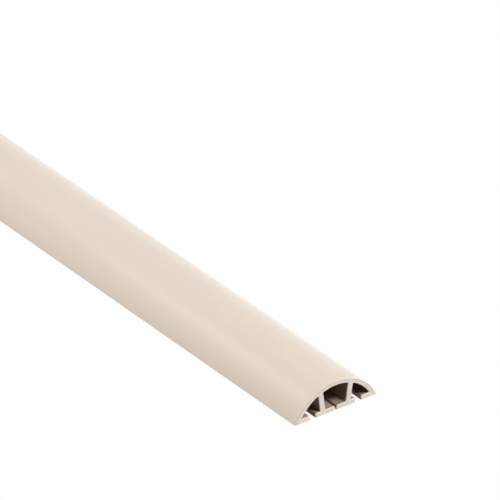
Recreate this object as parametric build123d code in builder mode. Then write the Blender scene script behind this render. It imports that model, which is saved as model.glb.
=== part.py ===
"""Cord cover raceway: one length of extruded flexible vinyl that covers cords on a floor.

The section is a round-backed dome on a flat base. Two splayed partitions divide its inside into a
centre channel and two side channels. A slit under each channel lets a cord be pressed in from below.

Frame, in millimetres: X across the raceway, Y along it, +Z up, origin at the middle of the underside.
"""

from build123d import *

import os
from math import cos, radians, sqrt

# Outside sizes
overall_length = 1524.0
overall_width = 50.8
overall_height = 17.0

# Walls
dome_wall = 2.65
base_thickness = 2.6
partition_thickness = 3.2
partition_splay = 7.5  # degrees from upright, each partition leaning out towards the dome

# Channels and slits, measured across the section
centre_channel_width = 12.7  # clear width at the channel's floor
centre_slit_width = 1.0
side_slit_width = 3.3
side_lip_length = 3.0  # floor of a side channel from the partition's foot to its slit

# Rounded edges and corners
outer_edge_round = 0.4
channel_corner_round = 0.5
lip_channel_round = 1.0
lip_floor_round = 0.4

# The dome's outer arc runs into the rounded outer edges, and those into the flat underside
edge_centre_x = overall_width / 2 - outer_edge_round
dome_radius = (edge_centre_x**2 + (overall_height - outer_edge_round) ** 2 - outer_edge_round**2) / (
    2 * (overall_height - 2 * outer_edge_round)
)
dome_centre_z = overall_height - dome_radius
dome_half_chord = sqrt(dome_radius**2 - dome_centre_z**2)

# The dome's inner arc shares the outer arc's centre and ends on the channel floor
inner_radius = dome_radius - dome_wall
inner_height = overall_height - dome_wall
channel_floor_half = sqrt(inner_radius**2 - (base_thickness - dome_centre_z) ** 2)

# A splayed partition is wider across its foot than through its thickness
partition_foot_width = partition_thickness / cos(radians(partition_splay))
partition_foot_x = (centre_channel_width + partition_foot_width) / 2
side_slit_x = partition_foot_x + (partition_foot_width + side_slit_width) / 2 + side_lip_length
slit_edges = [
    centre_slit_width / 2,
    side_slit_x - side_slit_width / 2,
    side_slit_x + side_slit_width / 2,
]

# The lips' rounds leave room for the round in the corner under the dome
outer_lip_length = channel_floor_half - side_slit_x - side_slit_width / 2
lip_round = min(lip_channel_round, outer_lip_length / 2)


def beside_slit(corner):
    """True for a corner of the section that lies on the edge of one of the three slits."""
    return any(abs(abs(corner.X) - edge) < 1e-6 for edge in slit_edges)


# The three channels: the space under the dome's inner arc, divided by the partitions
with BuildSketch() as channels:
    with BuildLine():
        ThreePointArc(
            (-channel_floor_half, base_thickness),
            (0, inner_height),
            (channel_floor_half, base_thickness),
        )
        Line((channel_floor_half, base_thickness), (-channel_floor_half, base_thickness))
    make_face()
    for side in (-1, 1):
        with Locations((side * partition_foot_x, base_thickness)):
            Rectangle(
                partition_thickness,
                2 * overall_height,
                rotation=-side * partition_splay,
                mode=Mode.SUBTRACT,
            )
    fillet(channels.vertices(), channel_corner_round)

# The extrusion: its section drawn on one square-cut end and drawn out to the other
with BuildPart() as raceway:
    with BuildSketch(Plane.XZ.offset(overall_length / 2)) as section:
        with BuildLine():
            ThreePointArc((-dome_half_chord, 0), (0, overall_height), (dome_half_chord, 0))
            Line((dome_half_chord, 0), (-dome_half_chord, 0))
        make_face()
        fillet(section.vertices(), outer_edge_round)
        add(channels.sketch, mode=Mode.SUBTRACT)
        with Locations((0, base_thickness / 2)):
            Rectangle(centre_slit_width, base_thickness, mode=Mode.SUBTRACT)
        with Locations((-side_slit_x, base_thickness / 2), (side_slit_x, base_thickness / 2)):
            Rectangle(side_slit_width, base_thickness, mode=Mode.SUBTRACT)
        fillet(section.vertices().filter_by(beside_slit).group_by(Axis.Y)[-1], lip_round)
        fillet(section.vertices().filter_by(beside_slit).group_by(Axis.Y)[0], lip_floor_round)
    extrude(amount=-overall_length)

raceway.part.label = "raceway"
os.makedirs("parts", exist_ok=True)
export_step(raceway.part, "parts/raceway.step")
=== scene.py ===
"""Looks of the cord cover raceway.

The fine-edged vinyl extrusion, its finishes, the floor, the light and the camera.
"""

import math

import bmesh
import bpy
from mathutils import Euler, Matrix, Vector
from mathutils.geometry import intersect_line_sphere_2d


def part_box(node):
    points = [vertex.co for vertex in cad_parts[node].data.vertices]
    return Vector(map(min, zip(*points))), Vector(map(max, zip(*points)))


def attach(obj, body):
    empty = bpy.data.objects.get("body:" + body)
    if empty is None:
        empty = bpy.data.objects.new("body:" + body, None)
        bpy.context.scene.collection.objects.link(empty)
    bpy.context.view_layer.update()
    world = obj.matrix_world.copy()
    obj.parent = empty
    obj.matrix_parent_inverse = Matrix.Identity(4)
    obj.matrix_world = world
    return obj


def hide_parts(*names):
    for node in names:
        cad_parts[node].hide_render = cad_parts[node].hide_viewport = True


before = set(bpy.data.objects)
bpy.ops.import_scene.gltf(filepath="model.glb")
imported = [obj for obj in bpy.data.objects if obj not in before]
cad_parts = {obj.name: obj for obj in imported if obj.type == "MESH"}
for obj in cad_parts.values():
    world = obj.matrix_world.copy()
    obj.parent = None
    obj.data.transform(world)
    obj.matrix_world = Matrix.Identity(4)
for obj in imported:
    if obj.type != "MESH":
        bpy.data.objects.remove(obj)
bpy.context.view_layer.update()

MM = 0.001

# Outside sizes, from the frame
box_low, box_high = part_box("raceway")
near_end_y = box_low.y
overall_length = box_high.y - box_low.y
overall_width = box_high.x - box_low.x
overall_height = box_high.z - box_low.z

# Walls
dome_wall = 2.65 * MM
base_thickness = 2.6 * MM
partition_thickness = 3.2 * MM
partition_splay = math.radians(7.5)  # from upright, leaning out towards the dome

# Channels and slits
centre_channel_width = 12.7 * MM
centre_slit_width = 1.0 * MM
side_slit_width = 3.3 * MM
side_lip_length = 3.0 * MM

# Rounded edges and corners, and the eased edges of the two cuts
outer_edge_round = 0.4 * MM
channel_corner_round = 0.5 * MM
lip_channel_round = 1.0 * MM
lip_floor_round = 0.4 * MM
cut_edge_ease = 0.25 * MM

# The dome's outer arc runs into the rounded outer edges, and those into the flat underside
edge_centre_x = overall_width / 2 - outer_edge_round
dome_radius = (edge_centre_x**2 + (overall_height - outer_edge_round) ** 2 - outer_edge_round**2) / (
    2 * (overall_height - 2 * outer_edge_round)
)
dome_centre_z = overall_height - dome_radius
inner_radius = dome_radius - dome_wall

# Fineness of the mesh
dome_steps = 36
outer_edge_steps = 8
side_channel_steps = 13
centre_channel_steps = 8
corner_segments = 5
cut_edge_segments = 1
cuts_along_length = 40
merge_distance = 0.001 * MM
sharp_edge_angle = math.radians(35)

# Least part of a face's normal that points along the length, on a cut's eased edges and its flat face
eased_edge_normal = 0.5
flat_cut_normal = 0.99

# Places of the finishes in the piece's list
outside_finish = 0
cut_finish = 1
channel_painted_shade_finish = 2

# The surface laid out flat for baking the finishes, in shares of the layout's width and height
layout_name = "OFBake"  # the layout's own name
layout_middle = 0.5
unrolled_half_width = 0.49
unrolled_foot = 0.01
unrolled_height = 0.8
cut_foot = 0.83
cut_width = 0.46
cut_offset = 0.25  # from the layout's middle to the middle of each cut


class SectionPen:
    """Draws half of the section as a chain of edges in the plane of the near end."""

    def __init__(self, mesh, x, z):
        self.mesh = mesh
        self.tip = mesh.verts.new((x, near_end_y, z))
        self.corners = []

    def line(self, x, z, rounding=0.0):
        """A straight run to (x, z), where a rounding makes the point a corner to be rounded."""
        made = bmesh.ops.extrude_vert_indiv(self.mesh, verts=[self.tip])
        self.tip = made["verts"][0]
        self.tip.co = (x, near_end_y, z)
        self.mark_corner(rounding)

    def arc(self, centre_x, centre_z, turn, steps, rounding=0.0):
        """A round run about a centre, turning clockwise where turn is positive."""
        made = bmesh.ops.spin(
            self.mesh,
            geom=[self.tip],
            cent=(centre_x, near_end_y, centre_z),
            axis=(0, 1, 0),
            angle=turn,
            steps=steps,
        )
        self.tip = made["geom_last"][0]
        self.mark_corner(rounding)

    def mark_corner(self, rounding):
        """Keeps the point that was just drawn for rounding, if it has a radius."""
        if rounding:
            self.corners.append((self.tip, rounding))

    def round_corners(self):
        """Rounds each marked corner to its own radius."""
        for corner, radius in self.corners:
            bmesh.ops.bevel(
                self.mesh,
                geom=[corner],
                offset=radius * math.tan(corner.calc_edge_angle() / 2),
                segments=corner_segments,
                profile=0.5,
                affect="VERTICES",
                material=-1,
            )


def partition_top(foot_x):
    """Where a partition's face that starts at foot_x on the channel floor meets the inside of the dome."""
    foot = Vector((foot_x, base_thickness))
    slant = Vector((math.sin(partition_splay), math.cos(partition_splay)))
    past_dome = foot + slant * overall_height
    meets = intersect_line_sphere_2d(foot, past_dome, (0, dome_centre_z), inner_radius, True)
    return next(point for point in meets if point)


def turn_from_crown(x, z):
    """The angle about the dome's axis from the crown to a point of the section."""
    return math.atan2(x, z - dome_centre_z)


def draw_half_section(mesh):
    """The right half of the outline, from the dome's crown round to the crown of the centre channel."""
    dome_turn = turn_from_crown(edge_centre_x, outer_edge_round)
    floor_end_x = math.sqrt(inner_radius**2 - (base_thickness - dome_centre_z) ** 2)

    foot_width = partition_thickness / math.cos(partition_splay)
    inner_foot_x = centre_channel_width / 2
    outer_foot_x = inner_foot_x + foot_width
    slit_inner_x = outer_foot_x + side_lip_length
    slit_outer_x = slit_inner_x + side_slit_width

    outer_top = partition_top(outer_foot_x)
    inner_top = partition_top(inner_foot_x)
    side_channel_turn = turn_from_crown(*outer_top) - turn_from_crown(floor_end_x, base_thickness)

    pen = SectionPen(mesh, 0, overall_height)
    pen.arc(0, dome_centre_z, dome_turn, dome_steps)
    pen.arc(edge_centre_x, outer_edge_round, math.pi - dome_turn, outer_edge_steps)
    pen.line(slit_outer_x, 0, lip_floor_round)
    pen.line(slit_outer_x, base_thickness, lip_channel_round)
    pen.line(floor_end_x, base_thickness, channel_corner_round)
    pen.arc(0, dome_centre_z, side_channel_turn, side_channel_steps, channel_corner_round)
    pen.line(outer_foot_x, base_thickness, channel_corner_round)
    pen.line(slit_inner_x, base_thickness, lip_channel_round)
    pen.line(slit_inner_x, 0, lip_floor_round)
    pen.line(centre_slit_width / 2, 0, lip_floor_round)
    pen.line(centre_slit_width / 2, base_thickness, lip_channel_round)
    pen.line(inner_foot_x, base_thickness, channel_corner_round)
    pen.line(*inner_top, channel_corner_round)
    pen.arc(0, dome_centre_z, -turn_from_crown(*inner_top), centre_channel_steps)
    pen.round_corners()


def measure_outline(mesh):
    """Marks the half section's points with their distance along it from the crown, and gives its length."""
    from_crown = mesh.verts.layers.float.new("from_crown")
    point = max(mesh.verts, key=lambda vert: vert.co.z)
    edge = None
    distance = 0.0
    while onward := [other for other in point.link_edges if other != edge]:
        edge = onward[0]
        distance += edge.calc_length()
        point = edge.other_vert(point)
        point[from_crown] = distance
    return distance


def draw_out(mesh):
    """Mirrors the half section, closes it and draws it out along Y."""
    bmesh.ops.mirror(mesh, geom=mesh.verts[:] + mesh.edges[:], axis="X", merge_dist=merge_distance)
    bmesh.ops.remove_doubles(mesh, verts=mesh.verts, dist=merge_distance)
    bmesh.ops.edgeloop_fill(mesh, edges=mesh.edges)
    drawn = bmesh.ops.extrude_face_region(mesh, geom=mesh.faces[:])
    far_verts = [part for part in drawn["geom"] if isinstance(part, bmesh.types.BMVert)]
    bmesh.ops.translate(mesh, verts=far_verts, vec=(0, overall_length, 0))
    bmesh.ops.recalc_face_normals(mesh, faces=mesh.faces)
    long_edges = [edge for edge in mesh.edges if abs(edge.verts[0].co.y - edge.verts[1].co.y) > MM]
    bmesh.ops.subdivide_edges(mesh, edges=long_edges, cuts=cuts_along_length)


def is_cut(face):
    """True for the face of a cut end and for the eased edges round it."""
    return abs(face.normal.y) > eased_edge_normal


def ease_cuts(mesh):
    """Takes the sharpness off the edges of the two cut ends."""
    bmesh.ops.bevel(
        mesh,
        geom=[edge for edge in mesh.edges if any(is_cut(face) for face in edge.link_faces)],
        offset=cut_edge_ease,
        segments=cut_edge_segments,
        profile=0.5,
        affect="EDGES",
        material=-1,
    )
    mesh.normal_update()


def finish_of(face):
    """The finish of a face: on a cut end, inside the channels and their slits, or outside."""
    if is_cut(face):
        # The cut ends and their eased edges take the paler finish, part of which is painted light
        return cut_finish
    centre = face.calc_center_median()
    under_dome = math.hypot(centre.x, centre.z - dome_centre_z) < inner_radius + dome_wall / 2
    # Faces inside the channels and slits take the deeper finish that paints their shade
    return channel_painted_shade_finish if under_dome and centre.z > lip_floor_round else outside_finish


def lay_flat(mesh, half_outline):
    """Lays out the surface: the sides unrolled both ways from the crown, and the two cuts above them."""
    from_crown = mesh.verts.layers.float["from_crown"]
    layout = mesh.loops.layers.uv.new(layout_name)
    cut_scale = cut_width / overall_width
    for face in mesh.faces:
        side = math.copysign(1, face.calc_center_median().x)
        end = math.copysign(1, face.normal.y)
        for corner in face.loops:
            x, y, z = corner.vert.co
            if is_cut(face):
                across = layout_middle + end * (cut_offset - x * cut_scale)
                up = cut_foot + z * cut_scale
            else:
                unrolled = side * corner.vert[from_crown] / half_outline
                across = layout_middle + unrolled * unrolled_half_width
                up = unrolled_foot + unrolled_height * (y - near_end_y) / overall_length
            corner[layout].uv = (across, up)
    mesh.verts.layers.float.remove(from_crown)


def make_raceway(finishes):
    """The whole length: the section drawn out, with eased edges at the two cuts."""
    mesh = bmesh.new()
    draw_half_section(mesh)
    half_outline = measure_outline(mesh)
    draw_out(mesh)
    ease_cuts(mesh)
    lay_flat(mesh, half_outline)
    for face in mesh.faces:
        face.material_index = finish_of(face)
        face.smooth = abs(face.normal.y) < flat_cut_normal
    data = bpy.data.meshes.new("raceway_vinyl")
    mesh.to_mesh(data)
    mesh.free()
    for finish in finishes:
        data.materials.append(finish)
    data.set_sharp_from_angle(angle=sharp_edge_angle)
    raceway = bpy.data.objects.new("raceway_vinyl", data)
    bpy.context.scene.collection.objects.link(raceway)
    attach(raceway, "root")
    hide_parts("raceway")


class Socket:
    """A node's output. Sums on it, with numbers or other sockets, add the Math nodes that do them."""

    def __init__(self, nodes, output):
        self.nodes = nodes
        self.output = output

    def maths(self, operation, first, second):
        return self.nodes.add("ShaderNodeMath", {"operation": operation}, {0: first, 1: second})

    def __add__(self, other):
        return self.maths("ADD", self, other)

    def __sub__(self, other):
        return self.maths("SUBTRACT", self, other)

    def __rsub__(self, other):
        return self.maths("SUBTRACT", other, self)

    def __mul__(self, other):
        return self.maths("MULTIPLY", self, other)

    __radd__ = __add__
    __rmul__ = __mul__


def colour(red, green, blue):
    """A plain colour, in linear light."""
    return (red, green, blue, 1.0)


# Scales of the vinyl's markings: how often they change per metre across, along and up
streak_scale = (700, 4, 700)
die_line_scale = (2600, 1.5, 2600)
grain_scale = (3200, 3200, 3200)
skin_cloud_scale = (45, 9, 45)
cutter_mark_scale = (60, 60, 2800)
cut_cloud_scale = (240, 240, 240)

# Shares of one marking in a mix with another
clouds_among_streaks = 0.6
die_lines_among_grain = 0.6
marks_among_clouds = 0.5

# Darkest and palest tones, and lowest and highest roughness, of each finish
skin_tones = colour(0.645, 0.552, 0.467), colour(0.685, 0.588, 0.499)
# The channels' tones are painted shade: the same vinyl made deeper for the shade inside the channels and
# slits
channel_painted_shade_tones = colour(0.295, 0.226, 0.165), colour(0.335, 0.26, 0.19)
# The cut's tones are paler than the skin's, partly as a cut face is and partly as painted light on the end
# face
cut_pale_and_painted_light_tones = colour(0.81, 0.71, 0.635), colour(0.87, 0.765, 0.685)
skin_roughness = 0.17, 0.25
channel_roughness = 0.5, 0.7
cut_roughness = 0.5, 0.65
vinyl_ior = 1.54

# A deeper band on the cut ends along the dome's outer edge, faint at one depth under the dome and full at
# another
outer_band_tone = colour(0.73, 0.645, 0.54)
outer_band_faint_depth = 1.5 * MM
outer_band_full_depth = 0.5 * MM

# Places of a Mix node's sockets for colours, after those for numbers and vectors
mix_share = 0
mix_first = 6
mix_second = 7
mix_result = 2


class Nodes:
    """The node tree of a finish or of the room, and the one way to add a node to it."""

    def __init__(self, owner):
        owner.use_nodes = True
        self.tree = owner.node_tree
        self.tree.nodes.clear()

    def add(self, kind, settings, sockets, output=0):
        """Adds a node, makes its settings, fills or links its sockets, and gives one of its outputs."""
        node = self.tree.nodes.new(kind)
        for name, value in settings.items():
            setattr(node, name, value)
        for name, value in sockets.items():
            if isinstance(value, Socket):
                self.tree.links.new(value.output, node.inputs[name])
            else:
                node.inputs[name].default_value = value
        return Socket(self, node.outputs[output]) if len(node.outputs) else None

    def markings(self, scale, detail):
        """Noise on the object's own coordinates, with its own scale along X, Y and Z."""
        place = self.add("ShaderNodeTexCoord", {}, {}, "Object")
        stretched = self.add("ShaderNodeMapping", {}, {"Vector": place, "Scale": scale})
        return self.add("ShaderNodeTexNoise", {}, {"Vector": stretched, "Scale": 1.0, "Detail": detail})

    def distance_from_axis(self, axis_z):
        """How far a point is from an axis along the length, at a height over the middle of the underside."""
        place = self.add("ShaderNodeTexCoord", {}, {}, "Object")
        across = self.add("ShaderNodeVectorMath", {"operation": "MULTIPLY"}, {0: place, 1: (1, 0, 1)})
        axis = (0, 0, axis_z)
        return self.add("ShaderNodeVectorMath", {"operation": "DISTANCE"}, {0: across, 1: axis}, "Value")

    def tint(self, share, first, second):
        """A colour between two others."""
        sockets = {mix_share: share, mix_first: first, mix_second: second}
        return self.add("ShaderNodeMix", {"data_type": "RGBA"}, sockets, mix_result)

    def vinyl(self, base, roughness, relief, strength, depth):
        """Ends the tree in a vinyl surface with a fine relief."""
        bump = self.add("ShaderNodeBump", {}, {"Strength": strength, "Distance": depth, "Height": relief})
        surface = self.add(
            "ShaderNodeBsdfPrincipled",
            {},
            {"Base Color": base, "Roughness": roughness, "IOR": vinyl_ior, "Normal": bump},
        )
        self.add("ShaderNodeOutputMaterial", {}, {"Surface": surface})


def mixed(first, second, share):
    """A share of one marking and the rest of another."""
    return first * share + second * (1 - share)


def between(share, low, high):
    """A value that goes from low to high with a marking."""
    return share * (high - low) + low


def make_skin():
    """Satin extruded vinyl: faint flow streaks and die lines along the length over a fine grain."""
    material = bpy.data.materials.new("extruded_vinyl")
    nodes = Nodes(material)
    streaks = nodes.markings(streak_scale, detail=3)
    clouds = nodes.markings(skin_cloud_scale, detail=2)
    die_lines = nodes.markings(die_line_scale, detail=2)
    grain = nodes.markings(grain_scale, detail=2)
    base = nodes.tint(mixed(clouds, streaks, clouds_among_streaks), *skin_tones)
    relief = mixed(die_lines, grain, die_lines_among_grain)
    nodes.vinyl(base, between(streaks, *skin_roughness), relief, strength=0.06, depth=0.02 * MM)
    return material


def make_channel_with_painted_shade():
    """The inside of the channels and slits: duller, and deeper in tone as painted shade, with the same
    streaks along the length.
    """
    material = bpy.data.materials.new("channel_vinyl_painted_shade")
    nodes = Nodes(material)
    streaks = nodes.markings(streak_scale, detail=3)
    base = nodes.tint(streaks, *channel_painted_shade_tones)
    nodes.vinyl(base, between(streaks, *channel_roughness), streaks, strength=0.1, depth=0.02 * MM)
    return material


def make_cut_end():
    """The face of the square cut: duller, and paler than the outside partly as a cut face is and partly as
    painted light on the end, with the cutter's fine marks and a deeper band along the dome's outer edge.
    """
    material = bpy.data.materials.new("cut_vinyl")
    nodes = Nodes(material)
    marks = nodes.markings(cutter_mark_scale, detail=2)
    clouds = nodes.markings(cut_cloud_scale, detail=2)
    core_with_painted_light = nodes.tint(mixed(marks, clouds, marks_among_clouds), *cut_pale_and_painted_light_tones)
    outer_band_share = nodes.add(
        "ShaderNodeMapRange",
        {"interpolation_type": "SMOOTHSTEP"},
        {
            "Value": nodes.distance_from_axis(dome_centre_z),
            "From Min": dome_radius - outer_band_faint_depth,
            "From Max": dome_radius - outer_band_full_depth,
        },
    )
    base = nodes.tint(outer_band_share, core_with_painted_light, outer_band_tone)
    nodes.vinyl(base, between(marks, *cut_roughness), marks, strength=0.2, depth=0.03 * MM)
    return material


def seen_directly(nodes):
    """1 for rays from the camera and for reflected and refracted rays, 0 for those that only carry light."""
    camera, glossy, transmission = (
        nodes.add("ShaderNodeLightPath", {}, {}, f"Is {kind} Ray")
        for kind in ("Camera", "Glossy", "Transmission")
    )
    return 1 - (1 - camera) * (1 - glossy) * (1 - transmission)


# The floor
floor_size = 9.0
floor_gap = 0.02 * MM  # under the part, so that the two share no plane
floor_paint = colour(0.9, 0.9, 0.9)  # where it is seen
floor_bounce = colour(0.15, 0.15, 0.15)  # where it sends light back on to the part
floor_whiteness = 0.9  # the share that shows as plain white, while the rest takes the shadow
plain_white = colour(1, 1, 1)


def make_floor():
    """A wide white floor that takes a soft shadow."""
    mesh = bmesh.new()
    under_part = Matrix.Translation((0, 0, -floor_gap))
    bmesh.ops.create_grid(mesh, x_segments=1, y_segments=1, size=floor_size / 2, matrix=under_part)
    data = bpy.data.meshes.new("floor")
    mesh.to_mesh(data)
    mesh.free()
    material = bpy.data.materials.new("white_floor")
    nodes = Nodes(material)
    seen = seen_directly(nodes)
    paint = nodes.tint(seen, floor_bounce, floor_paint)
    lit = nodes.add("ShaderNodeBsdfDiffuse", {}, {"Color": paint})
    white = nodes.add("ShaderNodeEmission", {}, {"Color": plain_white, "Strength": 1.0})
    surface = nodes.add("ShaderNodeMixShader", {}, {0: seen * floor_whiteness, 1: lit, 2: white})
    nodes.add("ShaderNodeOutputMaterial", {}, {"Surface": surface})
    data.materials.append(material)
    floor = bpy.data.objects.new("floor", data)
    bpy.context.scene.collection.objects.link(floor)


def make_room():
    """A white background that is seen and reflected, and leaves the lighting to the lamps."""
    world = bpy.data.worlds.new("studio")
    nodes = Nodes(world)
    strength = seen_directly(nodes)
    backdrop = nodes.add("ShaderNodeBackground", {}, {"Color": plain_white, "Strength": strength})
    nodes.add("ShaderNodeOutputWorld", {}, {"Surface": backdrop})
    bpy.context.scene.world = world


def make_softbox(name, aim, turn, rise, distance, width, height, power, glint=False):
    """A soft lamp aimed at a point, turned from +Y towards +X and raised about it, in degrees.

    Only a lamp with a glint shows as a highlight in a glossy surface.
    """
    lamp = bpy.data.lights.new(name, "AREA")
    lamp.shape = "RECTANGLE"
    lamp.size = width
    lamp.size_y = height
    lamp.energy = power
    softbox = bpy.data.objects.new(name, lamp)
    away = Vector((0, distance, 0))
    away.rotate(Euler((math.radians(rise), 0, -math.radians(turn))))
    softbox.matrix_world = Matrix.LocRotScale(aim + away, (-away).to_track_quat("-Z", "Y"), None)
    softbox.visible_camera = False
    softbox.visible_glossy = glint
    bpy.context.scene.collection.objects.link(softbox)


# Where the lamps are aimed, in metres along the length from the near end
mouth_aim = 0.06
past_far_end_aim = 1.6


def make_lamps():
    """Long lamps over and beside the length, ones in front of the near end, two glows and a fill behind."""
    near_end = Vector((0, near_end_y, 0))
    mouth = Vector((0, near_end_y + mouth_aim, 0))
    far_end = Vector((0, near_end_y + overall_length, 0))
    past_far_end = Vector((0, near_end_y + past_far_end_aim, 0))
    make_softbox("overhead", past_far_end, turn=180, rise=88, distance=4.0, width=2.4, height=4.4, power=12)
    make_softbox("left_low", past_far_end, turn=-90, rise=10, distance=5.0, width=4.6, height=1.5, power=213)
    make_softbox("right_low", past_far_end, turn=90, rise=20, distance=5.0, width=4.6, height=1.5, power=40)
    make_softbox("front_low", mouth, turn=150, rise=3.2, distance=5.0, width=1.3, height=0.5, power=69)
    make_softbox("front_right", mouth, turn=150, rise=58, distance=4.0, width=1.5, height=1.05, power=125)
    make_softbox("right_front", mouth, turn=120, rise=30, distance=4.0, width=1.8, height=1.2, power=62)
    make_softbox(
        "back_glow",
        mouth,
        turn=-20,
        rise=41,
        distance=0.8,
        width=0.5,
        height=0.16,
        power=0.12,
        glint=True,
    )
    make_softbox(
        "near_glow",
        near_end,
        turn=-28,
        rise=37,
        distance=0.5,
        width=0.22,
        height=0.16,
        power=0.085,
        glint=True,
    )
    make_softbox("far_fill", far_end, turn=-10, rise=14, distance=4.4, width=1.8, height=1.2, power=120)


# The photograph's view: a long lens far off, turned and tilted about the middle of the near end
image_side_px = 500
focal_length_px = 6735
near_end_px = Vector((335.65, 410.16))
width_px = 102.27
view_turn = math.radians(36.92)
view_drop = math.radians(30.28)
sensor_width_mm = 36.0
view_reach = 500  # metres


def make_camera():
    """The camera that sees the near end at its place and size in the photograph."""
    right = Vector((math.cos(view_turn), -math.sin(view_turn), 0))
    ahead = Vector(
        (
            math.sin(view_turn) * math.cos(view_drop),
            math.cos(view_turn) * math.cos(view_drop),
            -math.sin(view_drop),
        )
    )
    up = right.cross(ahead)
    distance = focal_length_px / width_px * overall_width
    offset = (near_end_px - Vector((image_side_px, image_side_px)) / 2) * distance / focal_length_px
    place = Vector((0, near_end_y, 0)) - ahead * distance - right * offset.x + up * offset.y
    lens = bpy.data.cameras.new("camera")
    lens.sensor_width = sensor_width_mm
    lens.lens = sensor_width_mm * focal_length_px / image_side_px
    lens.clip_end = view_reach
    camera = bpy.data.objects.new("camera", lens)
    camera.matrix_world = Matrix((right, up, -ahead)).transposed().to_4x4()
    camera.matrix_world.translation = place
    bpy.context.scene.collection.objects.link(camera)
    bpy.context.scene.camera = camera


make_raceway([make_skin(), make_cut_end(), make_channel_with_painted_shade()])
make_floor()
make_room()
make_lamps()
make_camera()
bpy.context.scene.view_settings.view_transform = "Standard"
